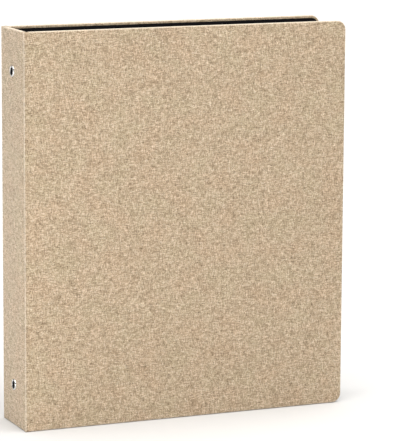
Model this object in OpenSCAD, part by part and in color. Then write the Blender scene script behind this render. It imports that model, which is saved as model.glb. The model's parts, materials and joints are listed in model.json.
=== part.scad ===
// Ring-bound scrapbook album: a case of three linen-covered boards with cloth hinges,
// a three-ring mechanism riveted to the spine, and loose scored leaves on the rings.
// Frame: Z up, standing on its lower edge. X runs from the spine (-X) to the fore edge (+X),
// and Y from the front cover (-Y) to the back cover (+Y). The origin is the centre of the base.

/* [Case] */
// Height of the covers
cover_h = 298; // [250:1:400]
// Width from the spine's outer face to the fore edge
cover_w = 260; // [200:1:330]
// Thickness of the closed album
album_t = 50; // [49:1:70]
// Thickness of the greyboard in the covers and spine
board_t = 2.5; // [1.5:0.1:3]
// Thickness of the linen cloth
cloth_t = 0.5; // [0.3:0.05:0.7]
// Thickness of the black lining paper
lining_t = 0.3; // [0.2:0.05:0.4]
// Corner radius at the fore edge
corner_r = 7; // [4:0.5:12]
// Width of the cloth turned in over the boards
turn_in = 15; // [10:1:20]
// Strip of turned-in cloth that the lining leaves bare
lining_margin = 2; // [1:0.5:5]

/* [Ring mechanism] */
// Inner diameter of the rings
ring_inner_d = 25.4; // [20:0.1:30]
// Diameter of the ring wire
wire_d = 3.2; // [2.6:0.1:3.8]
// Width of the arched steel shell
shell_w = 32.4; // [30:0.1:36]
// Height of the shell's crown above the spine
shell_h = 10; // [9.5:0.1:12]
// Thickness of the shell's sheet steel
shell_t = 0.9; // [0.7:0.05:1.1]
// Distance from the shell's ends to the top and bottom of the covers
shell_margin = 18; // [16:1:24]
// Distance from a shell end to its rivet
rivet_inset = 13; // [12:0.5:16]
// Distance from a rivet to the nearest ring
rivet_to_ring = 10; // [9:0.5:14]
// Outer radius of the rivet's tube
rivet_tube_r = 2.8; // [2.4:0.1:3.2]
// Radius of the rivet's head
rivet_head_r = 4.3; // [4:0.1:5.5]
// How far the rivet's head stands out of the spine
rivet_head_h = 1.2; // [0.8:0.1:1.6]

/* [Leaves] */
// Leaves on each side of the middle
leaves_per_side = 5; // [1:1:5]
// Thickness of a leaf
leaf_t = 0.6; // [0.3:0.05:0.8]
// Distance between neighbouring leaves
leaf_pitch = 1.5; // [1.2:0.1:1.6]
// Gap between a leaf and the top or bottom of the covers
leaf_end_gap = 9.5; // [6:0.5:16]
// Gap between the middle leaves and the fore edge of the covers
leaf_fore_gap = 10; // [8:0.5:30]
// Diameter of the punched holes
leaf_hole_d = 7; // [6:0.1:8]
// Distance from a hole's centre to the leaf's bound edge
leaf_hole_margin = 10; // [8:0.5:11]
// Distance from a hole's centre to the score line
score_offset = 12; // [8:0.5:20]

/* [Hidden] */
$fn = 64;
cut = 1; // how far a cutting shape runs past what it cuts

// The rivets' domed heads, which stand proud of the spine at the rim of their bores.
rivet_bore_r = rivet_tube_r - 0.7;
rivet_sphere_r = (pow(rivet_head_r, 2) + pow(rivet_head_h, 2)) / (2 * rivet_head_h);
rivet_proud = sqrt(pow(rivet_sphere_r, 2) - pow(rivet_bore_r, 2)) - rivet_sphere_r + rivet_head_h;

// Case: depths count inwards from an outer face.
stack_t = 2 * cloth_t + board_t + lining_t;
joint_slack = 0.2;
hinge_w = stack_t + lining_t + joint_slack; // outer corner to the edge of a board
crease_r = (cloth_t + lining_t) / 2;
crease_relief_r = 1.6 * crease_r;
x_spine = (rivet_proud - cover_w) / 2;
x_fore = x_spine + cover_w;
x_board = x_spine + hinge_w;
x_crease = x_spine + crease_r;
y_outer = album_t / 2;
y_crease = y_outer - crease_r;
crease_lap = crease_r / 2; // the spine's sheet ends this far short of the crease line
spine_board_w = album_t - 2 * hinge_w;

// Ring mechanism: u is the height above the spine's lining, along X, and w runs along Z from the middle.
x_mech = x_spine + cloth_t + board_t + lining_t;
z_mech = cover_h / 2;
shell_half = shell_w / 2;
shell_len = cover_h - 2 * shell_margin;
shoulder_h = shell_h / 2;
arch_r = (pow(shell_half, 2) + pow(shell_h - shoulder_h, 2)) / (2 * (shell_h - shoulder_h));
curl_r = 1.1;
blade_t = 1.1;
blade_bead_r = blade_t / 2 + 0.05;
blade_gap = 0.1;
u_pivot = 2 * curl_r + blade_gap + blade_bead_r;
v_pivot = shell_half - shell_t - blade_gap - blade_bead_r;
seam_gap = 0.12;
rivet_w = shell_len / 2 - rivet_inset;
ring_pitch = rivet_w - rivet_to_ring;
ring_levels = [-ring_pitch, 0, ring_pitch];

// Levers
pin_inset = 3;
pin_w = shell_len / 2 - pin_inset;
pin_r = 1;
pin_head_r = 1.8;
pin_head_h = 0.6;
u_pin = 3.2;
running_gap = 0.05;
lever_boss_r = 2.2;
lever_boss_len = 12;
lever_tab_w = 14;
jaw_w = 5;
jaw_reach = 6.5; // from the pin to a jaw's tip
blade_end_gap = 4.2; // from the pin to the blades' ends
curl_end_gap = 4;

// Rings
wire_r = wire_d / 2;
ring_r = ring_inner_d / 2 + wire_r;
ring_dip = 3.7; // how far the rings' inside reaches below the crown
u_ring = shell_h + ring_inner_d / 2 - ring_dip;
x_ring = x_mech + u_ring;
leg_inset = 3.05; // from a blade's pivot to the rings' legs
leg_v = v_pivot - leg_inset;
leg_angle = 180 - asin(leg_v / ring_r);
u_leg_top = u_ring - sqrt(pow(ring_r, 2) - pow(leg_v, 2));
elbow_r = wire_r + 0.06; // the wire swells a little where it is bent
tenon_r = 1.1;
tip_gap = 0.1;
tongue_r = 1;
tongue_tip_r = 0.3;
tongue_len = 0.9;
tongue_play = 0.12;
slot_shift = 0.8; // outwards from the leg, which leans that way as the ring opens
slot_play_v = 2.2;
slot_play_w = 1;

// Rivets
rivet_hole_r = rivet_tube_r + 0.1;
rivet_clinch_r = rivet_tube_r + 1;
rivet_clinch_h = 0.7;
blade_notch_r = rivet_tube_r + 0.8;

// Leaves
score_gap = 0.4;
leaf_corner_r = 3;
leaf_h = cover_h - 2 * leaf_end_gap;
leaf_w = x_fore - leaf_fore_gap - (x_ring + ring_r) + leaf_hole_margin;
function leaf_y(i) = 1 + (i - 1) * leaf_pitch;
function leaf_hole_x(i) = x_ring + sqrt(pow(ring_r, 2) - pow(leaf_y(i), 2));

SIDES = ["front", "back"];
LEVELS = ["bottom", "middle", "top"];
ENDS = ["bottom", "top"];

linen = [0.79, 0.70, 0.57];
greyboard = [0.55, 0.53, 0.50];
black_paper = [0.06, 0.06, 0.07];
nickel = [0.78, 0.78, 0.80];
ivory_card = [0.95, 0.93, 0.88];

// The front is modelled, and the back mirrors it.
module on_side(s) {
    if (s == "back") mirror([0, 1, 0]) children();
    else children();
}

// The mechanism's own place: X is u, the height above the spine's lining.
module at_mech() {
    translate([x_mech, 0, z_mech]) children();
}

// The top end is modelled, and the bottom end mirrors it.
module at_end(e) {
    at_mech() {
        if (e == "bottom") mirror([0, 0, 1]) children();
        else children();
    }
}

// Extrudes an X-Z outline from one depth below the front's outer face to another.
module cover_plate(depth_from, depth_to) {
    translate([0, depth_to - y_outer, 0]) rotate([90, 0, 0])
        linear_extrude(depth_to - depth_from) children();
}

// A cover's outline from x0 to the fore edge, drawn in by inset on its three free sides.
module cover_outline(x0, inset = 0) {
    r = max(corner_r - inset, 0.5);
    x1 = x_fore - inset;
    z1 = cover_h - inset;
    translate([x0, inset]) square([x1 - r - x0, z1 - inset]);
    translate([x0, inset + r]) square([x1 - x0, z1 - inset - 2 * r]);
    for (z = [inset + r, z1 - r]) translate([x1 - r, z]) circle(r);
}

// The part of a cover that the turned-in cloth leaves open, drawn in by g.
module turn_in_window(x0, g = 0) {
    translate([x0, turn_in + g]) square([x_fore - turn_in - g - x0, cover_h - 2 * (turn_in + g)]);
}

// Cuts a strip's end clear of the crease that it turns about.
module crease_relief() {
    translate([x_crease, -y_crease, -cut]) cylinder(r = crease_relief_r, h = cover_h + 2 * cut);
}

module cover_board() {
    color(greyboard) cover_plate(cloth_t, cloth_t + board_t) cover_outline(x_board, cloth_t);
}

module cover_cloth() {
    color(linen) difference() {
        union() {
            cover_plate(0, cloth_t) cover_outline(x_crease);
            cover_plate(0, 2 * cloth_t + board_t) cover_outline(x_board);
        }
        cover_plate(cloth_t, cloth_t + board_t) cover_outline(x_board - cut, cloth_t);
        cover_plate(cloth_t + board_t, stack_t + cut) turn_in_window(x_board - cut);
        crease_relief();
    }
}

// Everything in a cover up to its inner surface, with that surface raised by g.
module cover_stack(g) {
    cover_plate(-cut, cloth_t + g) cover_outline(x_crease);
    cover_plate(-cut, cloth_t + board_t + g) cover_outline(x_board - g);
    cover_plate(-cut, 2 * cloth_t + board_t + g) difference() {
        cover_outline(x_board - g);
        turn_in_window(x_board - g - cut, g);
    }
}

module cover_lining() {
    color(black_paper) difference() {
        intersection() {
            cover_stack(lining_t);
            cover_plate(cloth_t, stack_t + cut) cover_outline(x_crease, lining_margin);
        }
        cover_stack(0);
        crease_relief();
    }
}

// Extrudes a Y-Z outline from one depth below the spine's outer face to another.
module spine_plate(depth_from, depth_to) {
    translate([x_spine + depth_from, 0, 0]) rotate([90, 0, 90])
        linear_extrude(depth_to - depth_from) children();
}

module spine_outline(w, inset = 0) {
    translate([-w / 2, inset]) square([w, cover_h - 2 * inset]);
}

module rivet_holes() {
    for (w = [-rivet_w, rivet_w]) translate([x_spine - cut, 0, z_mech + w]) rotate([0, 90, 0])
        cylinder(r = rivet_hole_r, h = stack_t + 2 * cut);
}

module spine_board() {
    color(greyboard) difference() {
        spine_plate(cloth_t, cloth_t + board_t) spine_outline(spine_board_w, cloth_t);
        rivet_holes();
    }
}

module spine_cloth() {
    color(linen) {
        difference() {
            union() {
                spine_plate(0, cloth_t) spine_outline(2 * (y_crease - crease_lap));
                spine_plate(0, 2 * cloth_t + board_t) spine_outline(spine_board_w);
            }
            spine_plate(cloth_t, cloth_t + board_t) spine_outline(album_t, cloth_t);
            spine_plate(cloth_t + board_t, stack_t + cut) spine_outline(album_t, turn_in);
            rivet_holes();
        }
        for (y = [-y_crease, y_crease]) translate([x_crease, y, 0]) cylinder(r = crease_r, h = cover_h);
    }
}

module spine_stack(g) {
    spine_plate(-cut, cloth_t + g) spine_outline(2 * y_crease);
    spine_plate(-cut, cloth_t + board_t + g) spine_outline(spine_board_w + 2 * g);
    spine_plate(-cut, 2 * cloth_t + board_t + g) difference() {
        spine_outline(spine_board_w + 2 * g);
        spine_outline(album_t, turn_in + g);
    }
}

module spine_lining() {
    color(black_paper) difference() {
        intersection() {
            spine_stack(lining_t);
            spine_plate(cloth_t, stack_t + cut) spine_outline(2 * y_crease, lining_margin);
        }
        spine_stack(0);
        for (s = SIDES) on_side(s) crease_relief();
        rivet_holes();
    }
}

// The shell's arch, as an outline across the mechanism.
module arch_outline() {
    intersection() {
        translate([shell_h - arch_r, 0]) difference() {
            circle(arch_r, $fn = 256);
            circle(arch_r - shell_t, $fn = 256);
        }
        translate([shoulder_h - shell_t, -shell_half]) square([shell_h, shell_w]);
    }
}

module ring_shell() {
    color(nickel) at_mech() difference() {
        union() {
            linear_extrude(shell_len, center = true) {
                arch_outline();
                for (v = [-shell_half, shell_half - shell_t]) translate([curl_r, v])
                    square([shoulder_h - curl_r, shell_t]);
            }
            for (v = [-1, 1] * (shell_half - curl_r)) translate([curl_r, v, 0])
                cylinder(r = curl_r, h = 2 * (pin_w - curl_end_gap), center = true);
        }
        for (w = ring_levels, v = [-1, 1]) translate([shell_h / 2, v * (leg_v + slot_shift), w])
            cube([shell_h, wire_d + slot_play_v, wire_d + slot_play_w], center = true);
        for (w = [-rivet_w, rivet_w]) translate([0, 0, w]) rotate([0, 90, 0])
            cylinder(r = rivet_hole_r, h = shell_h + cut);
        for (w = [-pin_w, pin_w]) translate([u_pin, 0, w]) rotate([90, 0, 0])
            cylinder(r = pin_r, h = shell_w + 2 * cut, center = true);
    }
}

// One hinge plate: its outer edge turns in the shell's curl, and its inner edge meets the other.
module blade() {
    color(nickel) at_mech() difference() {
        linear_extrude(2 * (pin_w - blade_end_gap), center = true) translate([u_pivot, -v_pivot]) {
            circle(blade_bead_r);
            translate([-blade_t / 2, 0]) square([blade_t, v_pivot - seam_gap]);
        }
        for (w = [-rivet_w, rivet_w]) translate([0, 0, w]) rotate([0, 90, 0])
            cylinder(r = blade_notch_r, h = shell_h);
        for (w = ring_levels) translate([0, -leg_v, w]) rotate([0, 90, 0])
            cylinder(r = tenon_r, h = shell_h);
    }
}

// A half ring: arc, straight leg and the tenon that is staked into the blade.
module ring_half(w, side) {
    tip_angle = asin(tip_gap / 2 / ring_r);
    color(nickel) at_mech() translate([0, 0, w]) difference() {
        union() {
            translate([u_ring, 0, 0]) rotate([0, 0, -leg_angle])
                rotate_extrude(angle = leg_angle - tip_angle) translate([ring_r, 0]) circle(wire_r);
            translate([u_leg_top, -leg_v, 0]) rotate([90, 0, 0]) sphere(elbow_r);
            translate([u_pivot + blade_t / 2, -leg_v, 0]) rotate([0, 90, 0])
                cylinder(r = wire_r, h = u_leg_top - u_pivot - blade_t / 2);
            translate([u_pivot - blade_t / 2, -leg_v, 0]) rotate([0, 90, 0])
                cylinder(r = tenon_r, h = blade_t + cut);
            if (side == "front") ring_tongue(0);
        }
        if (side == "back") mirror([0, 1, 0]) ring_tongue(tongue_play);
    }
}

// The cone on a front half's tip. The back half has a hollow that is larger by play.
module ring_tongue(play) {
    root = wire_r / 2;
    taper = (tongue_r - tongue_tip_r) / tongue_len;
    translate([u_ring + ring_r, -root, 0]) rotate([-90, 0, 0])
        cylinder(r1 = tongue_tip_r + taper * (root + tongue_len) + play, r2 = tongue_tip_r + play,
            h = root + tongue_len + play);
}

// A lever's side outline in u and w, counted from its pin: the lower jaw, the upper jaw and the thumb tab.
module lever_outline() {
    polygon([[-2.4, -jaw_reach], [-1.4, -jaw_reach], [-1.4, 0], [-2.0, 1.2], [-2.4, 0]]);
    polygon([[1.6, -jaw_reach], [2.3, -jaw_reach], [2.1, 0], [1.2, 1], [1.2, -1.6]]);
}

module lever_tab_outline() {
    polygon([
        [-1.4, 0], [-0.6, 3.4], [1.6, 5.2], [4.6, 7.2], [6.4, 9.6], [7.0, 12.4],
        [7.6, 12.2], [7.4, 8.8], [5.8, 5.9], [3.4, 4.2], [1.6, 2.6], [1.4, 0]
    ]);
}

module lever(e) {
    color(nickel) at_end(e) translate([u_pin, 0, pin_w]) difference() {
        union() {
            rotate([90, 0, 0]) cylinder(r = lever_boss_r, h = lever_boss_len, center = true);
            rotate([90, 0, 0]) linear_extrude(jaw_w, center = true) lever_outline();
            rotate([90, 0, 0]) linear_extrude(lever_tab_w, center = true) lever_tab_outline();
        }
        rotate([90, 0, 0]) cylinder(r = pin_r + running_gap, h = shell_w, center = true);
    }
}

module lever_pin(e) {
    color(nickel) at_end(e) translate([u_pin, 0, pin_w]) rotate([90, 0, 0]) {
        cylinder(r = pin_r, h = shell_w, center = true);
        for (v = [-1, 1] * (shell_w + pin_head_h) / 2) translate([0, 0, v])
            cylinder(r = pin_head_r, h = pin_head_h, center = true);
    }
}

// A tubular rivet: domed head outside the spine, tube through the boards, rim clinched on the shell.
module rivet(e) {
    u_head = x_spine - x_mech;
    color(nickel) at_end(e) translate([0, 0, rivet_w]) difference() {
        union() {
            intersection() {
                translate([u_head - rivet_head_h + rivet_sphere_r, 0, 0]) sphere(rivet_sphere_r, $fn = 128);
                translate([u_head - rivet_head_h, 0, 0]) rotate([0, 90, 0])
                    cylinder(r = rivet_head_r + cut, h = rivet_head_h);
            }
            translate([u_head, 0, 0]) rotate([0, 90, 0]) cylinder(r = rivet_tube_r, h = shell_h - u_head);
            translate([shell_h, 0, 0]) rotate([0, 90, 0])
                cylinder(r1 = rivet_clinch_r, r2 = rivet_tube_r, h = rivet_clinch_h);
        }
        translate([u_head - rivet_head_h - cut, 0, 0]) rotate([0, 90, 0])
            cylinder(r = rivet_bore_r, h = shell_h - u_head + rivet_head_h + rivet_clinch_h + 2 * cut);
    }
}

// Extrudes an X-Z outline as one leaf thickness, centred on leaf i.
module leaf_plate(i) {
    translate([0, -leaf_y(i) + leaf_t / 2, 0]) rotate([90, 0, 0]) linear_extrude(leaf_t) children();
}

// The punched binding edge of leaf i, up to the score.
module leaf_strip(i) {
    color(ivory_card) leaf_plate(i) difference() {
        translate([leaf_hole_x(i) - leaf_hole_margin, leaf_end_gap])
            square([leaf_hole_margin + score_offset - score_gap / 2, leaf_h]);
        for (w = ring_levels) translate([leaf_hole_x(i), z_mech + w]) circle(leaf_hole_d / 2);
    }
}

// The page of leaf i, from the score to the fore edge.
module leaf_sheet(i) {
    x0 = leaf_hole_x(i) + score_offset + score_gap / 2;
    x1 = leaf_hole_x(i) - leaf_hole_margin + leaf_w;
    r = leaf_corner_r;
    color(ivory_card) leaf_plate(i) translate([0, leaf_end_gap]) {
        translate([x0, 0]) square([x1 - r - x0, leaf_h]);
        translate([x0, r]) square([x1 - x0, leaf_h - 2 * r]);
        for (z = [r, leaf_h - r]) translate([x1 - r, z]) circle(r);
    }
}

spine_board();
spine_cloth();
spine_lining();
ring_shell();
for (s = SIDES) on_side(s) {
    cover_board();
    cover_cloth();
    cover_lining();
    blade();
    for (k = [0:2])
        ring_half(ring_levels[k], s);
    for (i = [1:leaves_per_side]) {
        leaf_strip(i);
        leaf_sheet(i);
    }
}
for (e = ENDS) {
    lever(e);
    lever_pin(e);
    rivet(e);
}
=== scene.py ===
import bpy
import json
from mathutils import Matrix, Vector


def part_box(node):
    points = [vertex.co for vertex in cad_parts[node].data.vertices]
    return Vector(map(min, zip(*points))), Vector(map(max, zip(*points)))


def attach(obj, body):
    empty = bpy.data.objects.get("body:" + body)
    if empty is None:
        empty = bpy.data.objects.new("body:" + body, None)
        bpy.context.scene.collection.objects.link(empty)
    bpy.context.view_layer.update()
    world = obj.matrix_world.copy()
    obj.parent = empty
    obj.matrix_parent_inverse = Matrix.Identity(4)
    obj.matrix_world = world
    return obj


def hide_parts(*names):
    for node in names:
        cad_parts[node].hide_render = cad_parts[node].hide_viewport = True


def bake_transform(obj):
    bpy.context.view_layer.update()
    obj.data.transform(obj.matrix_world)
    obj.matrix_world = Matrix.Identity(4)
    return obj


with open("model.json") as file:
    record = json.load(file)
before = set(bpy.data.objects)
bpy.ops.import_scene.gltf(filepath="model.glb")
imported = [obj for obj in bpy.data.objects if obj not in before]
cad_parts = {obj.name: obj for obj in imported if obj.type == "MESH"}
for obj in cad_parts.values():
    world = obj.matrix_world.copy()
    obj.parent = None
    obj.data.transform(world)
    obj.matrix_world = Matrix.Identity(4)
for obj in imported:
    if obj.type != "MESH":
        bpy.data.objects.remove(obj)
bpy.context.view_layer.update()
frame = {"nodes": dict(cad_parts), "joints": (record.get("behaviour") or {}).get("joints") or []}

import json
import math

import bmesh
import bpy
from mathutils import Matrix, Vector

MM = 0.001
SIDES = {"front": -1, "back": 1}
LEVELS = ("bottom", "middle", "top")
ENDS = ("bottom", "top")
LEAVES_PER_SIDE = 5


def middle_z(node):
    low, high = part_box(node)
    return (low.z + high.z) / 2


# ---- The case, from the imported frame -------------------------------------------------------
spine_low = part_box("spine_cloth")[0]
cover_low, cover_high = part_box("front_cover_cloth")
board_low, board_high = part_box("front_cover_board")
spine_board_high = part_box("spine_board")[1]
lining_low, lining_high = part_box("front_cover_lining")
rivet_low, rivet_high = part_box("top_rivet")

HEIGHT = cover_high.z
X_SPINE = spine_low.x
X_BOARD = board_low.x
X_FORE = cover_high.x
Y_OUT = -cover_low.y
CLOTH = X_FORE - board_high.x
BOARD = board_high.y - board_low.y
WRAP = BOARD + 2 * CLOTH  # a board with cloth on both faces
PAPER = lining_high.y - cover_high.y
MARGIN = lining_low.z  # turned-in cloth that the lining leaves bare
SPINE_HALF = spine_board_high.y
HINGE = X_BOARD - X_SPINE
CORNER_R = 7 * MM
TURN_IN = 15 * MM
CLOTH_INSIDE = 0.9 * CLOTH  # how deep the cloth's inner side is, just clear of the board
EDGE_R = 1.0 * MM  # cloth drawn over a board's edge
EDGE_HIGHLIGHT_AND_WEAR = 0.85  # painted highlight with some rubbing on a board's edge, where 1 is the corner of the spine
HIGHLIGHT_AND_RUB_HALF = 0.6 * MM  # half the width of the painted highlight line, with some rubbing, on that corner
FOLD = 0.9 * MM  # the hinge cloth with its turned-in layer
GROOVE = 0.4 * MM  # how far the cloth sinks between two boards
SHOULDER = 0.75  # the share of a groove that is left at a board's edge
SHOULDER_REACH = 0.9 * MM  # how far onto a board the cloth has sunk

RIVET_R = (rivet_high.z - rivet_low.z) / 2
RIVET_TUBE_R = 2.8 * MM
RIVET_MOUTH_R = 2.65 * MM
RIVET_BORE_R = 2.5 * MM
CLINCH_R = 3.7 * MM

HOLE_R = 3.5 * MM
HOLE_MARGIN = 10 * MM  # from a leaf's bound edge to the middle of its holes
HOLE_HEIGHTS = [middle_z("front_ring_half_" + level) for level in LEVELS]
LEAF_CORNER_R = 3 * MM
SCORE_HALF = 0.9 * MM
SCORE_DEPTH = 0.10 * MM

# How finely each stretch of a mesh is divided
FACE_STEPS = 12
SIDE_STEPS = 14
CORNER_STEPS = 10
EDGE_STEPS = 5
HOLE_STEPS = 32
PUNCH_STEPS = 40
LEAF_STEPS = 24
PAGE_STEPS = 18
LINING_STEPS = 6
WELD = 1e-7  # places closer than this are one vertex


# ---- Mesh helpers --------------------------------------------------------------------------
class Skin:
    """A bmesh that shares vertices at the same place and keeps the cloth's own flat coordinates."""

    def __init__(self, to_world):
        self.bm = bmesh.new()
        self.weave = self.bm.verts.layers.float_vector.new("weave")
        self.to_world = to_world
        self.at = {}

    def vert(self, a, z, d, flat=(0, 0), highlight_and_wear=0.0):
        place = Vector(self.to_world(a, z, d))
        key = tuple(round(c / WELD) for c in place)
        if key not in self.at:
            made = self.bm.verts.new(place)
            made[self.weave] = (flat[0], flat[1], highlight_and_wear)
            self.at[key] = made
        return self.at[key]

    def face(self, verts):
        loop = [v for i, v in enumerate(verts) if v is not verts[i - 1]]
        if len(set(loop)) == len(loop) > 2 and self.bm.faces.get(loop) is None:
            return self.bm.faces.new(loop)
        return None

    def fill(self, outer, holes=()):
        """Fills a flat outline that may have holes."""
        if not holes:
            self.face(outer)
            return
        edges = []
        for loop in (outer, *holes):
            for i, v in enumerate(loop):
                edge = self.bm.edges.get((loop[i - 1], v)) or self.bm.edges.new((loop[i - 1], v))
                edges.append(edge)
        bmesh.ops.triangle_fill(self.bm, use_beauty=True, edges=edges)

    def finish(self, name, sharp=50):
        bmesh.ops.recalc_face_normals(self.bm, faces=self.bm.faces)
        mesh = bpy.data.meshes.new(name)
        self.bm.to_mesh(mesh)
        self.bm.free()
        mesh.shade_smooth()
        mesh.set_sharp_from_angle(angle=math.radians(sharp))
        piece = bpy.data.objects.new(name, mesh)
        bpy.context.scene.collection.objects.link(piece)
        return piece


def arc(steps):
    return [math.pi / 2 * i / steps for i in range(steps + 1)]


def straight(n, base, fore=math.inf):
    """A station on a straight side. Past the rounded corner it stays on its side of the mitre."""
    def place(o):
        a, z = base[0] - n[0] * o, base[1] - n[1] * o
        if o > CORNER_R:
            a, z = min(a, fore - o), min(max(z, o), HEIGHT - o)
        return a, z

    return {"n": n, "place": place, "foot": base}


def corner(centre, n, diagonal, radius):
    def place(o):
        inside, past = max(radius - o, 0), max(o - radius, 0)
        return (
            centre[0] + n[0] * inside - diagonal[0] * past,
            centre[1] + n[1] * inside - diagonal[1] * past,
        )

    return {"n": n, "place": place, "foot": (centre[0] + n[0] * radius, centre[1] + n[1] * radius)}


def cover_columns(starts):
    """Stations round a cover's three free sides, from the hinge's lower end to its upper end."""
    face = X_FORE - CORNER_R - X_BOARD
    middle = [X_BOARD + face * i / FACE_STEPS for i in range(1, FACE_STEPS + 1)]
    bottom = [straight((0, -1), (x, 0), X_FORE) for x in starts + middle]
    low = [
        corner((X_FORE - CORNER_R, CORNER_R), (math.sin(t), -math.cos(t)), (1, -1), CORNER_R)
        for t in arc(CORNER_STEPS)[1:]
    ]
    rise = [
        straight((1, 0), (X_FORE, CORNER_R + (HEIGHT - 2 * CORNER_R) * i / SIDE_STEPS), X_FORE)
        for i in range(1, SIDE_STEPS + 1)
    ]
    high = [
        corner((X_FORE - CORNER_R, HEIGHT - CORNER_R), (math.cos(t), math.sin(t)), (1, 1), CORNER_R)
        for t in arc(CORNER_STEPS)[1:]
    ]
    top = [straight((0, 1), (x, HEIGHT), X_FORE) for x in reversed(starts + middle[:-1])]
    return bottom + low + rise + high + top


def spine_columns(places):
    """Stations along the spine's lower edge and back along its upper edge."""
    bottom = [straight((0, -1), (y, 0)) for y in places]
    return bottom + [straight((0, 1), (y, HEIGHT)) for y in reversed(places)]


def panel(skin, columns, outer, inner, ends, weave_of, depth, wraps=True, holes=()):
    """A thin closed sheet round a board. outer and inner list (inset, depth, length past the
    face, painted highlight with some wear) from the open face to the sheet's edge, ends is how many
    stations at each end are joined straight across, and wraps says that the sheet also passes round
    the fore edge."""
    count = len(columns)
    half = count // 2

    def row(profile, side):
        grid = []
        for i, station in enumerate(columns):
            line = []
            for o, d, t, highlight_and_wear in profile:
                a, z = station["place"](o)
                foot, n = station["foot"], station["n"]
                flat = (weave_of(foot[0] + n[0] * t), foot[1] + n[1] * t)
                line.append(skin.vert(a, z, depth(min(i, count - 1 - i), d, side, a), flat, highlight_and_wear))
            grid.append(line)
        return grid

    grids = [row(outer, 0), row(inner, 1)]
    steps = [i for i in range(count - 1) if wraps or i != half - 1]
    for grid in grids:
        for i in steps:
            for k in range(len(grid[0]) - 1):
                skin.face([grid[i][k], grid[i + 1][k], grid[i + 1][k + 1], grid[i][k + 1]])
    for i in steps:
        rim = [(grids[0][i][-1], grids[0][i + 1][-1]), (grids[1][i][-1], grids[1][i + 1][-1])]
        skin.face([rim[0][0], rim[0][1], rim[1][1], rim[1][0]])
    caps = [0, count - 1] + ([] if wraps else [half - 1, half])
    for i in caps:
        for k in range(max(len(outer), len(inner)) - 1):
            k0, k1 = min(k, len(outer) - 1), min(k + 1, len(outer) - 1)
            m0, m1 = min(k, len(inner) - 1), min(k + 1, len(inner) - 1)
            skin.face([grids[0][i][k0], grids[0][i][k1], grids[1][i][m1], grids[1][i][m0]])
    crossings = [0] + ([] if wraps else [half - 1])
    for i in crossings:
        j = count - 1 - i
        skin.face([grids[0][i][0], grids[0][j][0], grids[1][j][0], grids[1][i][0]])
    across = list(range(ends)) + ([] if wraps else list(range(half - 1 - ends, half - 1)))
    rings = []
    for a, z, radius in holes:
        both = []
        for side, profile in enumerate((outer, inner)):
            d = depth(ends, profile[0][1], side, a)
            ring = []
            for k in range(HOLE_STEPS):
                turn = 2 * math.pi * k / HOLE_STEPS
                p = (a + radius * math.cos(turn), z + radius * math.sin(turn))
                ring.append(skin.vert(p[0], p[1], d, (weave_of(p[0]), p[1])))
            both.append(ring)
        for k in range(HOLE_STEPS):
            skin.face([both[0][k - 1], both[0][k], both[1][k], both[1][k - 1]])
        rings.append(both)
    for side, grid in enumerate(grids):
        for i in across:
            j = count - 1 - i
            skin.face([grid[i][0], grid[i + 1][0], grid[j - 1][0], grid[j][0]])
        if wraps:
            middle = [line[0] for line in grid[ends : count - ends]]
        else:
            middle = [line[0] for line in grid[ends : half - ends] + grid[half + ends : count - ends]]
        skin.fill(middle, [ring[side] for ring in rings])


# ---- The cloth-covered boards --------------------------------------------------------------
def cloth_profile(inward):
    """The cloth's section over a board's edge, from the face to its cut end."""
    r = EDGE_R - inward
    line = []
    # The last entry of each point is a painted highlight over the board's edge, with some rubbing.
    for t in arc(EDGE_STEPS):
        line.append((EDGE_R - r * math.sin(t), EDGE_R - r * math.cos(t), EDGE_R * t - EDGE_R,
                     EDGE_HIGHLIGHT_AND_WEAR * math.sin(t)))
    rise = WRAP - 2 * EDGE_R
    past = EDGE_R * (math.pi / 2 - 1) + rise
    for t in arc(EDGE_STEPS):
        line.append((EDGE_R - r * math.cos(t), WRAP - EDGE_R + r * math.sin(t), past + EDGE_R * t,
                     EDGE_HIGHLIGHT_AND_WEAR * math.cos(t)))
    end = past + EDGE_R * math.pi / 2 + TURN_IN - EDGE_R
    line.append((TURN_IN, WRAP - inward, end, 0))
    return line


# Where a place on each cover and on the spine falls along the cloth when it is laid flat.
def front_sheet_u(x):
    return x


def spine_sheet_u(y):
    return X_SPINE - Y_OUT - y


def back_sheet_u(x):
    return 2 * X_SPINE - 2 * Y_OUT - x


SHEET_U = {"front": front_sheet_u, "back": back_sheet_u}


def board_shoulder(distance):
    """How far the cloth has sunk this far from a board's hinge edge."""
    if distance >= SHOULDER_REACH:
        return 0.0
    return GROOVE * SHOULDER * math.cos(math.pi / 2 * distance / SHOULDER_REACH) ** 2


def place_on_cover(sign):
    return lambda a, z, d: (a, sign * (Y_OUT - d), z)


def place_on_spine(a, z, d):
    return (X_SPINE + d, a, z)


SHOULDER_STEPS = [s * SHOULDER_REACH for s in (0, 1 / 6, 1 / 3, 5 / 9, 7 / 9, 1)]
SPINE_SHOULDER = 0.35  # how much of the covers' shoulder the spine has


def cover_cloth(side):
    skin = Skin(place_on_cover(SIDES[side]))
    starts = [X_BOARD + s for s in SHOULDER_STEPS]

    def depth(_i, d, _side, a):
        sunk = board_shoulder(a - X_BOARD)
        return d + sunk * max(1 - d / WRAP, 0)

    panel(skin, cover_columns(starts), cloth_profile(0), cloth_profile(CLOTH_INSIDE),
          len(starts) - 1, SHEET_U[side], depth)
    return skin.finish(side + "_cover_linen")


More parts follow.
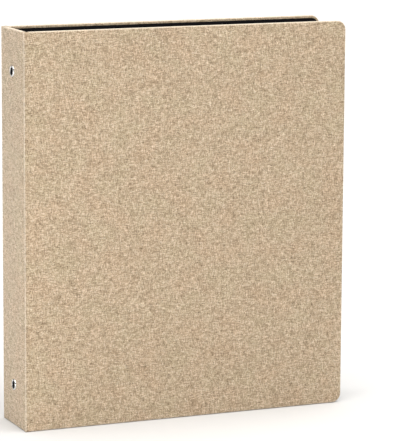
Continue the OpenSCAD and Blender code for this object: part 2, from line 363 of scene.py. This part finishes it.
def spine_cloth(rivet_places):
    skin = Skin(place_on_spine)
    rises = [s - SPINE_HALF for s in SHOULDER_STEPS]
    middle = [SPINE_HALF * 2 * (i / 8 - 0.5) for i in range(1, 8)]
    places = rises + middle + [-y for y in reversed(rises)]

    def depth(_i, d, _side, a):
        sunk = SPINE_SHOULDER * board_shoulder(SPINE_HALF - abs(a))
        return d + sunk * max(1 - d / WRAP, 0)

    panel(skin, spine_columns(places), cloth_profile(0), cloth_profile(CLOTH_INSIDE),
          len(rises) - 1, spine_sheet_u, depth, wraps=False,
          holes=[(0, z, RIVET_TUBE_R) for z in rivet_places])
    return skin.finish("spine_linen")


STEP_FOOT = 1.2 * MM  # the lining leaves the board this far inside the turned-in cloth
STEP_HEAD = 0.4 * MM  # and lies flat on the cloth this far onto it


def lining_profile(lift):
    """The lining's section, from the bare board to its edge on the turned-in cloth."""
    foot, top = WRAP - CLOTH + lift, WRAP + lift
    line = []
    for i in range(LINING_STEPS + 1):
        t = i / LINING_STEPS
        rise = t * t * (3 - 2 * t)
        inset = TURN_IN + STEP_FOOT - (STEP_FOOT + STEP_HEAD) * t
        line.append((inset, foot + (top - foot) * rise, 0, 0))
    line.append((MARGIN + 0.12 * MM, top, 0, 0))
    return line


def lining_profiles():
    edge = (MARGIN, WRAP + PAPER * 0.6, 0, 0)
    under = (MARGIN, WRAP, 0, 0)
    return lining_profile(PAPER) + [edge], lining_profile(0) + [under]


# The lining's rise up a board's hinge edge: (distance onto the board in mm, share of the rise).
RISER = [(-0.30, 0.0), (-0.30, 0.55), (-0.29, 0.93), (-0.20, 0.985), (-0.06, 1.0), (0.8, 1.0)]


def lining_depth(station, d, skin_side):
    """Beside a hinge the lining goes down to meet the lining of the hinge."""
    share = RISER[station][1] if station < len(RISER) else 1
    low = FOLD + (PAPER if skin_side == 0 else 0)
    return low + (d - low) * share


def cover_lining(side):
    skin = Skin(place_on_cover(SIDES[side]))
    starts = [X_BOARD + s * MM for s, _ in RISER]

    def depth(i, d, skin_side, _a):
        return lining_depth(i, d, skin_side)

    upper, lower = lining_profiles()
    panel(skin, cover_columns(starts), upper, lower, len(starts) - 1, SHEET_U[side], depth)
    return skin.finish(side + "_cover_endpaper", 60)


def spine_lining(rivet_places):
    skin = Skin(place_on_spine)
    rises = [-SPINE_HALF + s * MM for s, _ in RISER]
    middle = [SPINE_HALF * 2 * (i / 6 - 0.5) for i in range(1, 6)]
    places = rises + middle + [-y for y in reversed(rises)]

    def depth(i, d, skin_side, _a):
        return lining_depth(min(i, len(places) - 1 - i), d, skin_side)

    upper, lower = lining_profiles()
    panel(skin, spine_columns(places), upper, lower, len(rises) - 1, spine_sheet_u, depth,
          wraps=False, holes=[(0, z, RIVET_TUBE_R) for z in rivet_places])
    return skin.finish("spine_endpaper", 60)


# ---- The cloth hinges ----------------------------------------------------------------------
def hinge_path(offset, groove_front, groove_spine, radius):
    """The hinge's section from the spine's board round the outer corner to the cover's board:
    (distance in from the spine's face, distance in from the cover's face)."""
    near, fade, first = 0.9 * MM, 2.2 * MM, 1.0 * MM

    def sunk(s, depth):
        """How far the cloth has sunk at s from the corner, where depth is the most it sinks."""
        edge = SHOULDER * depth * math.cos(math.pi / 2 * min((HINGE - s) / fade, 1)) ** 2
        across = min(max((s - near) / (HINGE - near), 0), 1)
        return max(edge, depth * math.sin(math.pi * across) ** 0.8)

    stretch = [HINGE + (first - HINGE) * i / 10 for i in range(11)]
    path = [(offset + sunk(q, groove_spine), max(q, radius + offset)) for q in stretch]
    centre = radius + offset if radius > offset else offset + 0.05 * MM
    turn = [
        (centre - (centre - offset) * math.cos(t), centre - (centre - offset) * math.sin(t))
        for t in arc(6)
    ]
    rest = [(max(q, radius + offset), offset + sunk(q, groove_front)) for q in reversed(stretch)]
    return path + turn + rest


def hinge_strip(name, side, outer, inner, low, high, round_ends):
    """A strip between two hinge paths, from one height to another."""
    sign = SIDES[side]
    skin = Skin(lambda p, z, q: (X_SPINE + p, sign * (Y_OUT - q), z))
    half = FOLD / 2 if round_ends else 0
    ends = [(half * (1 - math.cos(t)), math.sin(t)) for t in arc(4)] if round_ends else [(0, 1)]
    heights = [(low + lift, share) for lift, share in ends]
    tall = high - low - 2 * half
    heights += [(low + half + tall * i / SIDE_STEPS, 1) for i in range(1, SIDE_STEPS)]
    heights += [(high - lift, share) for lift, share in reversed(ends)]
    along, total = [0.0], 0.0
    for (p0, q0), (p1, q1) in zip(outer, outer[1:]):
        total += math.hypot(p1 - p0, q1 - q0)
        along.append(total)
    rows = []
    for z, share in heights:
        line = []
        for (p, q), (s, t), u in zip(outer, inner, along):
            mid = ((p + s) / 2, (q + t) / 2)
            flat = (SHEET_U[side](X_SPINE + u - total / 2), z)
            # painted highlight along the spine's corner and the hinge's ends, with some rubbing
            highlight_and_wear = max(EDGE_HIGHLIGHT_AND_WEAR * (1 - share), 1 - abs(u - total / 2) / HIGHLIGHT_AND_RUB_HALF)
            out = (mid[0] + (p - mid[0]) * share, mid[1] + (q - mid[1]) * share)
            under = (mid[0] + (s - mid[0]) * share, mid[1] + (t - mid[1]) * share)
            line.append((skin.vert(out[0], z, out[1], flat, highlight_and_wear),
                         skin.vert(under[0], z, under[1], flat)))
        rows.append(line)
    for below, above in zip(rows, rows[1:]):
        for i in range(len(below) - 1):
            for k in (0, 1):
                skin.face([below[i][k], below[i + 1][k], above[i + 1][k], above[i][k]])
        for i in (0, -1):
            skin.face([below[i][0], below[i][1], above[i][1], above[i][0]])
    for line in (rows[0], rows[-1]):
        for i in range(len(line) - 1):
            skin.face([line[i][0], line[i + 1][0], line[i + 1][1], line[i][1]])
    return skin.finish(name, 70)


def hinge_bend(piece):
    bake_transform(piece)


def hinge_pieces(side):
    back = hinge_path(FOLD, 0, 0, 0)
    cloth = hinge_strip(side + "_hinge_linen", side, hinge_path(0, GROOVE, 0.35 * GROOVE, 0.9 * MM),
                        back, 0, HEIGHT, True)
    paper = hinge_strip(side + "_hinge_endpaper", side, hinge_path(FOLD + PAPER, 0, 0, 0.4 * MM),
                        back, MARGIN, HEIGHT - MARGIN, False)
    return cloth, paper


# ---- The rivets ----------------------------------------------------------------------------
def lathe(name, profile, centre, steps=64):
    """Turns (distance out from the spine's face, radius, inside) points about an axis along X.
    Faces between points marked inside take the second material."""
    skin = Skin(lambda a, z, d: (centre[0] + d, centre[1] + a, centre[2] + z))
    rings = []
    for k in range(steps):
        t = 2 * math.pi * k / steps
        rings.append([skin.vert(r * math.cos(t), r * math.sin(t), x, (x, r * t))
                      for x, r, _ in profile])
    for k in range(steps):
        for i in range(len(profile)):
            face = skin.face([rings[k - 1][i - 1], rings[k][i - 1], rings[k][i], rings[k - 1][i]])
            if profile[i - 1][2] and profile[i][2]:
                face.material_index = 1
    return skin.finish(name, 40)


def eyelet(end):
    """A tubular rivet: a domed head rolled into its bore, and a flared rim on the shell."""
    low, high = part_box(end + "_rivet")
    head = X_SPINE - low.x
    reach = high.x - X_SPINE
    crown = (RIVET_R + RIVET_MOUTH_R) / 2
    lip = crown - RIVET_MOUTH_R
    seat = 0.05 * MM
    flare = 1.0 * MM
    profile = [(seat, RIVET_TUBE_R, False), (seat, RIVET_R - 0.2 * MM, False)]
    for t in arc(6):
        profile.append((-head * math.sin(t), crown + lip * math.cos(t), False))
    for i, t in enumerate(arc(6)[1:]):
        profile.append((-head * math.cos(t), crown - lip * math.sin(t), i > 1))
    profile.append((0.3 * MM, RIVET_MOUTH_R - 0.04 * MM, True))
    profile.append((2.0 * MM, RIVET_BORE_R, True))
    profile.append((reach - 1.2 * MM, RIVET_BORE_R, True))
    for t in arc(5):
        profile.append((reach - flare + flare * math.sin(t),
                        RIVET_BORE_R + 0.9 * flare * (1 - math.cos(t)), False))
    profile.append((reach - 0.05 * MM, CLINCH_R - 0.25 * MM, False))
    profile.append((reach - 0.30 * MM, CLINCH_R, False))
    profile.append((reach - 0.60 * MM, CLINCH_R - 0.1 * MM, False))
    profile.append((reach - 0.70 * MM, RIVET_TUBE_R, False))
    return lathe(end + "_eyelet", profile, Vector((X_SPINE, 0, middle_z(end + "_rivet"))))


# ---- The leaves ----------------------------------------------------------------------------
def leaf(side, i):
    """A card leaf: punched binding edge, scored fold line and a page with rounded corners."""
    name = f"{side}_leaf_{i}"
    strip_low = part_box(name + "_strip")[0]
    page_low, page_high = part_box(name + "_sheet")
    score = next(j for j in frame["joints"] if j["name"] == name + "_score")["pos_m"][0]
    y = (page_low.y + page_high.y) / 2
    half = (page_high.y - page_low.y) / 2
    hole_x = strip_low.x + HOLE_MARGIN
    low, high = page_low.z, page_high.z
    rounding = page_high.x - LEAF_CORNER_R
    rows = [low + (high - low) * k / LEAF_STEPS for k in range(LEAF_STEPS + 1)]
    skin = Skin(lambda a, z, d: (a, y + d, z))

    def bow(x, z):
        """How far the page is off its plane, in its own way for each leaf."""
        far = max(x - score, 0) / (page_high.x - score)
        wave = math.sin(5.1 * far + 1.7 * i) * math.sin(math.pi * (z - low) / (high - low) + 0.6 * i)
        return SIDES[side] * (0.10 * wave + 0.12 * math.sin(2.3 * i)) * MM * min(far * 4, 1)

    def column(x):
        short = 0.0
        if x > rounding:
            short = LEAF_CORNER_R - math.sqrt(max(LEAF_CORNER_R**2 - (x - rounding) ** 2, 0))
        zs = [low + short] + rows[1:-1] + [high - short]
        groove = SCORE_DEPTH if x == score else 0.0
        return [
            (skin.vert(x, z, bow(x, z) + half - groove, (x, z)),
             skin.vert(x, z, bow(x, z) - half + groove, (x, z)))
            for z in zs
        ]

    crease = [score + s * MM for s in (-0.9, -0.35, 0, 0.35, 0.9)]
    wide = rounding - score - SCORE_HALF
    page = [score + SCORE_HALF + wide * k / PAGE_STEPS for k in range(1, PAGE_STEPS + 1)]
    fore = [rounding + LEAF_CORNER_R * math.sin(t) for t in arc(EDGE_STEPS)[1:]]
    first = column(strip_low.x)
    grid = [column(x) for x in crease + page + fore]
    holes = []
    for z in HOLE_HEIGHTS:
        ring = []
        for k in range(PUNCH_STEPS):
            t = 2 * math.pi * k / PUNCH_STEPS
            p = (hole_x + HOLE_R * math.cos(t), z + HOLE_R * math.sin(t))
            ring.append((skin.vert(p[0], p[1], half, p), skin.vert(p[0], p[1], -half, p)))
        holes.append(ring)
    for k in (0, 1):
        outline = [v[k] for v in first] + [v[k] for v in reversed(grid[0])]
        skin.fill(outline, [[v[k] for v in ring] for ring in holes])
        for near, far in zip(grid, grid[1:]):
            for m in range(len(near) - 1):
                skin.face([near[m][k], far[m][k], far[m + 1][k], near[m + 1][k]])
    for ring in holes:
        for m in range(len(ring)):
            skin.face([ring[m - 1][0], ring[m][0], ring[m][1], ring[m - 1][1]])
    for line in (first, grid[-1]):
        for m in range(len(line) - 1):
            skin.face([line[m][0], line[m + 1][0], line[m + 1][1], line[m][1]])
    for near, far in zip([first] + grid, grid):
        for m in (0, -1):
            skin.face([near[m][0], far[m][0], far[m][1], near[m][1]])
    piece = skin.finish(name + "_card", 40)
    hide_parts(name + "_strip", name + "_sheet")
    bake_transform(piece)
    return piece


# ---- Materials -----------------------------------------------------------------------------
class Nodes:
    """Short calls for wiring one material's nodes."""

    def __init__(self, name):
        self.material = bpy.data.materials.new(name)
        self.material.use_nodes = True
        self.tree = self.material.node_tree
        self.tree.nodes.clear()
        self.out = self.tree.nodes.new("ShaderNodeOutputMaterial")
        self.shader = self.tree.nodes.new("ShaderNodeBsdfPrincipled")
        self.link(self.shader.outputs["BSDF"], self.out.inputs["Surface"])

    def link(self, source, target):
        self.tree.links.new(source, target)

    def put(self, target, value):
        if hasattr(value, "node"):
            self.link(value, target)
        else:
            target.default_value = value

    def flat_coordinates(self):
        node = self.tree.nodes.new("ShaderNodeAttribute")
        node.attribute_name = "weave"
        return node.outputs["Vector"]

    def object_coordinates(self):
        return self.tree.nodes.new("ShaderNodeTexCoord").outputs["Object"]

    def object_mm(self):
        return self.stretch(self.object_coordinates(), (1000, 1000, 1000))

    def math(self, operation, a, b=0.5, c=0.0, clamp=False):
        node = self.tree.nodes.new("ShaderNodeMath")
        node.operation = operation
        node.use_clamp = clamp
        self.put(node.inputs[0], a)
        self.put(node.inputs[1], b)
        self.put(node.inputs[2], c)
        return node.outputs[0]

    def choose(self, second, a, b):
        """Gives a where second is 0 and b where it is 1."""
        node = self.tree.nodes.new("ShaderNodeMix")
        node.data_type = "FLOAT"
        self.link(second, node.inputs["Factor"])
        self.link(a, node.inputs["A"])
        self.link(b, node.inputs["B"])
        return node.outputs["Result"]

    def stretch(self, vector, scale, shift=(0, 0, 0)):
        node = self.tree.nodes.new("ShaderNodeMapping")
        self.link(vector, node.inputs["Vector"])
        node.inputs["Scale"].default_value = scale
        node.inputs["Location"].default_value = shift
        return node.outputs["Vector"]

    def noise(self, vector, scale=1.0, detail=2.0, rough=0.5, distortion=0.0):
        node = self.tree.nodes.new("ShaderNodeTexNoise")
        self.link(vector, node.inputs["Vector"])
        node.inputs["Scale"].default_value = scale
        node.inputs["Detail"].default_value = detail
        node.inputs["Roughness"].default_value = rough
        node.inputs["Distortion"].default_value = distortion
        return node.outputs["Fac"]

    def ramp(self, value, stops):
        node = self.tree.nodes.new("ShaderNodeValToRGB")
        self.link(value, node.inputs["Fac"])
        line = node.color_ramp
        while len(line.elements) < len(stops):
            line.elements.new(0.5)
        for element, (at, colour) in zip(line.elements, stops):
            element.position = at
            element.color = (*colour, 1)
        return node.outputs["Color"]

    def mix(self, share, a, b, blend="MIX"):
        node = self.tree.nodes.new("ShaderNodeMix")
        node.data_type = "RGBA"
        node.blend_type = blend
        self.put(node.inputs["Factor"], share)
        self.put(node.inputs["A"], a if hasattr(a, "node") else (*a, 1))
        self.put(node.inputs["B"], b if hasattr(b, "node") else (*b, 1))
        return node.outputs["Result"]

    def spread(self, value, low, high, to_low=0.0, to_high=1.0):
        node = self.tree.nodes.new("ShaderNodeMapRange")
        self.link(value, node.inputs["Value"])
        node.inputs["From Min"].default_value = low
        node.inputs["From Max"].default_value = high
        node.inputs["To Min"].default_value = to_low
        node.inputs["To Max"].default_value = to_high
        return node.outputs["Result"]

    def bump(self, height, strength, distance):
        node = self.tree.nodes.new("ShaderNodeBump")
        self.link(height, node.inputs["Height"])
        node.inputs["Strength"].default_value = strength
        node.inputs["Distance"].default_value = distance
        return node.outputs["Normal"]

    def set(self, **values):
        for name, value in values.items():
            self.put(self.shader.inputs[name.replace("_", " ")], value)


def linen():
    """Heathered book linen: a plain weave whose yarns change tone along their length, mottled
    in soft patches, with painted shade between the threads, and lighter where the cloth is drawn over
    an edge: a painted highlight with some rubbing."""
    m = Nodes("linen")
    per_mm = m.stretch(m.flat_coordinates(), (1000, 1000, 1000))
    split = m.tree.nodes.new("ShaderNodeSeparateXYZ")
    m.link(per_mm, split.inputs[0])
    # the third flat coordinate: painted highlight with some rubbing on edges and the spine's corner
    edge_highlight_and_wear = m.math("MULTIPLY", split.outputs[2], MM, clamp=True)
    flat = m.stretch(per_mm, (1, 1, 0))
    wander = m.noise(flat, 0.14, 2, 0.5)
    jitter = m.noise(flat, 1.1, 1, 0.5)
    sway = m.math("ADD", m.math("MULTIPLY", wander, 2.2), m.math("MULTIPLY", jitter, 0.45))

    def yarns(along, across, pitch, slow, seed):
        """One set of threads: (tone, height across a thread, which thread it is)."""
        place = m.math("DIVIDE", across, pitch)
        index = m.math("FLOOR", place)
        middle = m.math("SUBTRACT", m.math("FRACT", place), 0.5)
        crown = m.math("COSINE", m.math("MULTIPLY", middle, math.pi))
        where = m.tree.nodes.new("ShaderNodeCombineXYZ")
        m.put(where.inputs[0], m.math("MULTIPLY", along, slow))
        m.put(where.inputs[1], m.math("MULTIPLY", index, 5.37))
        where.inputs[2].default_value = seed
        tone = m.noise(where.outputs[0], 1, 3, 0.65)
        return tone, crown, index

    u = m.math("ADD", split.outputs[0], sway)
    v = m.math("SUBTRACT", split.outputs[1], sway)
    warp_tone, warp_crown, warp_index = yarns(v, u, 0.43, 0.30, 3)
    weft_tone, weft_crown, weft_index = yarns(u, v, 0.40, 0.24, 19)
    parity = m.math("FRACT", m.math("MULTIPLY", m.math("ADD", warp_index, weft_index), 0.5))
    warp_over = m.math("GREATER_THAN", parity, 0.25)
    yarn = m.choose(warp_over, weft_tone, warp_tone)
    across = m.choose(warp_over, weft_crown, warp_crown)
    along = m.choose(warp_over, warp_crown, weft_crown)
    bulge = m.math("MULTIPLY", m.math("POWER", across, 0.7), m.math("MULTIPLY_ADD", along, 0.55, 0.45))
    fleck = m.noise(m.stretch(flat, (0.75, 0.9, 1), (7, 3, 9)), 1, 3, 0.65, 0.4)
    tone = m.math("ADD", m.math("MULTIPLY", yarn, 0.88), m.math("MULTIPLY", fleck, 0.12))
    colour = m.ramp(tone, [
        (0.36, (0.200, 0.140, 0.082)),
        (0.44, (0.375, 0.280, 0.180)),
        (0.50, (0.570, 0.440, 0.300)),
        (0.56, (0.775, 0.620, 0.445)),
        (0.64, (0.980, 0.860, 0.690)),
    ])
    patch = m.noise(m.stretch(flat, (0.045, 0.052, 1), (2, 8, 1)), 1, 3, 0.55)
    tint = m.ramp(patch, [
        (0.36, (1.0, 0.972, 0.960)),
        (0.50, (0.985, 0.985, 0.985)),
        (0.64, (0.968, 0.990, 0.970)),
    ])
    colour = m.mix(1.0, colour, tint, "MULTIPLY")
    # painted highlight: lighter cream on edges and the spine's corner, with some rubbing
    highlight_and_rub_share = m.math("MULTIPLY", edge_highlight_and_wear, m.spread(fleck, 0.35, 0.6, 0.40, 0.75))
    colour = m.mix(highlight_and_rub_share, colour, (0.92, 0.84, 0.72))
    # painted shade in the gaps between threads, darker where a thread's crown falls away
    colour = m.mix(m.spread(bulge, 0.15, 0.75, 0.50, 0.0), colour, (0.22, 0.16, 0.11), "MULTIPLY")
    relief = m.math("ADD", bulge, m.math("MULTIPLY", tone, 0.8))
    m.set(Base_Color=colour, Roughness=m.spread(tone, 0.35, 0.65, 0.95, 0.82),
          Normal=m.bump(relief, 0.5, 0.12 * MM))
    m.shader.inputs["Specular IOR Level"].default_value = 0.25
    m.shader.inputs["Sheen Weight"].default_value = 0.30
    m.shader.inputs["Sheen Roughness"].default_value = 0.4
    m.shader.inputs["Sheen Tint"].default_value = (1.0, 0.98, 0.95, 1)
    return m.material


def endpaper():
    """Black leather-grained lining paper with scuffed high spots."""
    m = Nodes("endpaper")
    per_mm = m.object_mm()
    cells = m.tree.nodes.new("ShaderNodeTexVoronoi")
    m.link(per_mm, cells.inputs["Vector"])
    cells.inputs["Scale"].default_value = 0.9
    grain = m.spread(cells.outputs["Distance"], 0.0, 0.75)
    cloud = m.noise(per_mm, 0.05, 3, 0.6)
    fine = m.noise(per_mm, 2.2, 3, 0.6)
    colour = m.mix(cloud, (0.0012, 0.0012, 0.0015), (0.0030, 0.0030, 0.0036))
    colour = m.mix(m.spread(grain, 0.55, 1.0, 0, 0.35), colour, (0.007, 0.007, 0.008))
    relief = m.math("ADD", grain, m.math("MULTIPLY", fine, 0.35))
    m.set(Base_Color=colour, Roughness=m.spread(fine, 0.3, 0.7, 0.50, 0.70),
          Normal=m.bump(relief, 0.4, 0.08 * MM))
    m.shader.inputs["Specular IOR Level"].default_value = 0.06
    return m.material


def card():
    """Uncoated ivory card with fibres and a slight unevenness of tone."""
    m = Nodes("card")
    per_mm = m.object_mm()
    fibre = m.noise(m.stretch(per_mm, (0.7, 0.7, 1.6)), 1, 5, 0.7, 0.8)
    cloud = m.noise(per_mm, 0.03, 3, 0.5)
    colour = m.ramp(fibre, [(0.35, (0.76, 0.73, 0.65)), (0.55, (0.82, 0.79, 0.715)),
                            (0.75, (0.85, 0.825, 0.755))])
    colour = m.mix(m.spread(cloud, 0.3, 0.7, 0, 0.5), colour, (0.955, 0.935, 0.90), "MULTIPLY")
    m.set(Base_Color=colour, Roughness=m.spread(fibre, 0.3, 0.7, 0.86, 0.72),
          Normal=m.bump(fibre, 0.25, 0.05 * MM))
    m.shader.inputs["Specular IOR Level"].default_value = 0.3
    return m.material


def greyboard():
    """Recycled greyboard with flecks of fibre."""
    m = Nodes("greyboard")
    per_mm = m.object_mm()
    fleck = m.noise(per_mm, 0.9, 5, 0.75, 1.0)
    colour = m.ramp(fleck, [(0.3, (0.17, 0.16, 0.145)), (0.5, (0.27, 0.26, 0.235)),
                            (0.72, (0.40, 0.385, 0.35))])
    m.set(Base_Color=colour, Roughness=m.spread(fleck, 0.3, 0.7, 0.95, 0.85),
          Normal=m.bump(fleck, 0.5, 0.1 * MM))
    return m.material


def bore_painted_shade():
    """Near-black paint inside a rivet's bore: painted shade, dull and rough."""
    m = Nodes("bore_painted_shade")
    per_mm = m.object_mm()
    shade_mottle = m.noise(per_mm, 0.9, 3, 0.6)
    # painted shade: the bore is coloured near-black so the hole reads dark
    m.set(Base_Color=m.mix(shade_mottle, (0.004, 0.004, 0.005), (0.020, 0.019, 0.018)),
          Roughness=m.spread(shade_mottle, 0.3, 0.7, 0.6, 0.9))
    m.shader.inputs["Specular IOR Level"].default_value = 0.1
    return m.material


def nickel(name, brush, tint, roughness):
    """Nickel-plated steel: drawn marks along one direction, faint handling smears and pits."""
    m = Nodes(name)
    per_mm = m.object_mm()
    drawn = m.noise(m.stretch(per_mm, brush), 1, 3, 0.6)
    smear = m.noise(per_mm, 0.12, 3, 0.6, 0.6)
    pits = m.noise(per_mm, 3.5, 2, 0.5)
    low = tuple(c * 0.86 for c in tint)
    colour = m.mix(m.spread(smear, 0.3, 0.7), low, tint)
    rough = m.math("ADD", m.spread(drawn, 0.3, 0.7, roughness * 0.75, roughness * 1.3),
                   m.spread(smear, 0.45, 0.75, 0.0, 0.10))
    relief = m.math("ADD", m.math("MULTIPLY", drawn, 0.7), m.math("MULTIPLY", pits, 0.3))
    m.set(Base_Color=colour, Roughness=rough, Normal=m.bump(relief, 0.12, 0.03 * MM))
    m.shader.inputs["Metallic"].default_value = 1.0
    return m.material


# ---- Building it ---------------------------------------------------------------------------
def dress(piece, *materials):
    for material in materials:
        piece.data.materials.append(material)


def fit(piece, node, body, slot, *materials):
    """Puts a finished piece in the place of one CAD node."""
    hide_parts(node)
    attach(piece, body)
    dress(piece, *materials)


def dress_cad(node, material, bevel=0.0):
    """Gives a CAD node its material and softens its sharp edges."""
    piece = frame["nodes"][node]
    if not piece.material_slots:
        piece.data.materials.append(material)
    for slot in piece.material_slots:
        slot.material = material
    if bevel:
        soft = piece.modifiers.new("soft edges", "BEVEL")
        soft.width = bevel
        soft.segments = 2
        soft.limit_method = "ANGLE"
        soft.angle_limit = math.radians(40)


cloth_material = linen()
paper_material = endpaper()
card_material = card()
board_material = greyboard()
steel_material = nickel("nickel_steel", (0.25, 4.0, 0.25), (0.66, 0.655, 0.64), 0.20)
wire_material = nickel("nickel_wire", (1.5, 1.5, 1.5), (0.72, 0.715, 0.70), 0.14)
rivet_material = nickel("nickel_rivet", (2.0, 2.0, 2.0), (0.80, 0.79, 0.77), 0.16)
bore_shade_material = bore_painted_shade()


def build_cover(side):
    cloth = cover_cloth(side)
    fit(cloth, side + "_cover_cloth", side + "_cover", "linen", cloth_material)
    fit(cover_lining(side), side + "_cover_lining", side + "_cover", "lining", paper_material)
    dress_cad(side + "_cover_board", board_material)


def build_hinge(side):
    cloth, paper = hinge_pieces(side)
    for piece, slot, material in ((cloth, "linen", cloth_material), (paper, "lining", paper_material)):
        hinge_bend(piece)
        dress(piece, material)


def build_spine():
    rivet_heights = [middle_z(end + "_rivet") for end in ENDS]
    cloth = spine_cloth(rivet_heights)
    fit(cloth, "spine_cloth", "spine", "linen", cloth_material)
    fit(spine_lining(rivet_heights), "spine_lining", "spine", "lining", paper_material)
    dress_cad("spine_board", board_material)


def build_mechanism():
    for end in ENDS:
        fit(eyelet(end), end + "_rivet", "spine", "nickel", rivet_material, bore_shade_material)
        dress_cad(end + "_lever", steel_material, 0.2 * MM)
        dress_cad(end + "_lever_pin", wire_material, 0.12 * MM)
    dress_cad("ring_shell", steel_material, 0.12 * MM)
    for side in SIDES:
        dress_cad(side + "_blade", steel_material, 0.12 * MM)
        for level in LEVELS:
            dress_cad(f"{side}_ring_half_{level}", wire_material)


for side in SIDES:
    build_cover(side)
    build_hinge(side)
    for i in range(1, LEAVES_PER_SIDE + 1):
        dress(leaf(side, i), card_material)
build_spine()
build_mechanism()


# ---- Stage, light and camera ---------------------------------------------------------------
def stage():
    """A wide, flat, pale floor of faintly mottled paper, just below the album."""
    m = Nodes("paper_sweep")
    mottled = m.noise(m.object_coordinates(), 3.0, 2, 0.5)
    m.set(Base_Color=m.mix(mottled, (0.575, 0.575, 0.575), (0.595, 0.595, 0.595)), Roughness=0.9)
    m.shader.inputs["Specular IOR Level"].default_value = 0.1
    half = 9.0
    mesh = bpy.data.meshes.new("paper_sweep")
    corners = [(-half, -half, 0), (half, -half, 0), (half, half, 0), (-half, half, 0)]
    mesh.from_pydata(corners, [], [(0, 1, 2, 3)])
    mesh.materials.append(m.material)
    floor = bpy.data.objects.new("paper_sweep", mesh)
    floor.location.z = -0.2 * MM
    bpy.context.scene.collection.objects.link(floor)


def lamp(kind, name, place, aim, power, colour, **shape):
    light = bpy.data.lights.new(name, kind)
    light.energy = power
    light.color = colour
    for key, value in shape.items():
        setattr(light, key, value)
    holder = bpy.data.objects.new(name, light)
    holder.location = place
    holder.rotation_mode = "QUATERNION"
    holder.rotation_quaternion = (Vector(aim) - Vector(place)).to_track_quat("-Z", "Y")
    holder.visible_camera = False
    bpy.context.scene.collection.objects.link(holder)


def studio():
    """A large, soft overhead light, whose glow from the pale floor lights the upright faces,
    with a weak key in front and a low fill beside the spine."""
    stage()
    scene = bpy.context.scene
    scene.view_settings.view_transform = "Standard"
    scene.world = bpy.data.worlds.new("studio")
    scene.world.use_nodes = True
    sky = scene.world.node_tree.nodes["Background"]
    sky.inputs["Color"].default_value = (0.94, 0.97, 1.0, 1)
    sky.inputs["Strength"].default_value = 0.22
    warm = (1.0, 0.98, 0.95)
    middle = (0, 0, HEIGHT / 2)
    lamp("SUN", "overhead", (0.05, -0.14, 1), (0, 0, 0), 5.6, warm, angle=math.radians(75))
    lamp("AREA", "key", (-2.2, -1.3, 0.35), middle, 7, warm,
         shape="RECTANGLE", size=1.6, size_y=1.2)
    lamp("AREA", "low_fill", (-0.50, -0.30, 0.05), (-0.13, 0, 0.05), 0.6, (1.0, 0.97, 0.93),
         shape="RECTANGLE", size=0.3, size_y=0.1)


def camera():
    """A long lens far away, to the left of the spine's corner and a little above."""
    yaw, pitch, roll = math.radians(-23.374), math.radians(9.744), math.radians(0.344)
    lens = bpy.data.cameras.new("camera")
    lens.sensor_fit = "AUTO"
    lens.sensor_width = 36
    lens.lens = 221.75
    lens.clip_start, lens.clip_end = 0.05, 50
    eye = bpy.data.objects.new("camera", lens)
    turn = Matrix.Rotation(yaw, 4, "Z") @ Matrix.Rotation(math.pi / 2 - pitch, 4, "X")
    eye.matrix_world = (Matrix.Translation((-0.7839, -1.8797, 0.4974)) @ turn
                        @ Matrix.Rotation(roll, 4, "Z"))
    bpy.context.scene.collection.objects.link(eye)
    bpy.context.scene.camera = eye


camera()
studio()
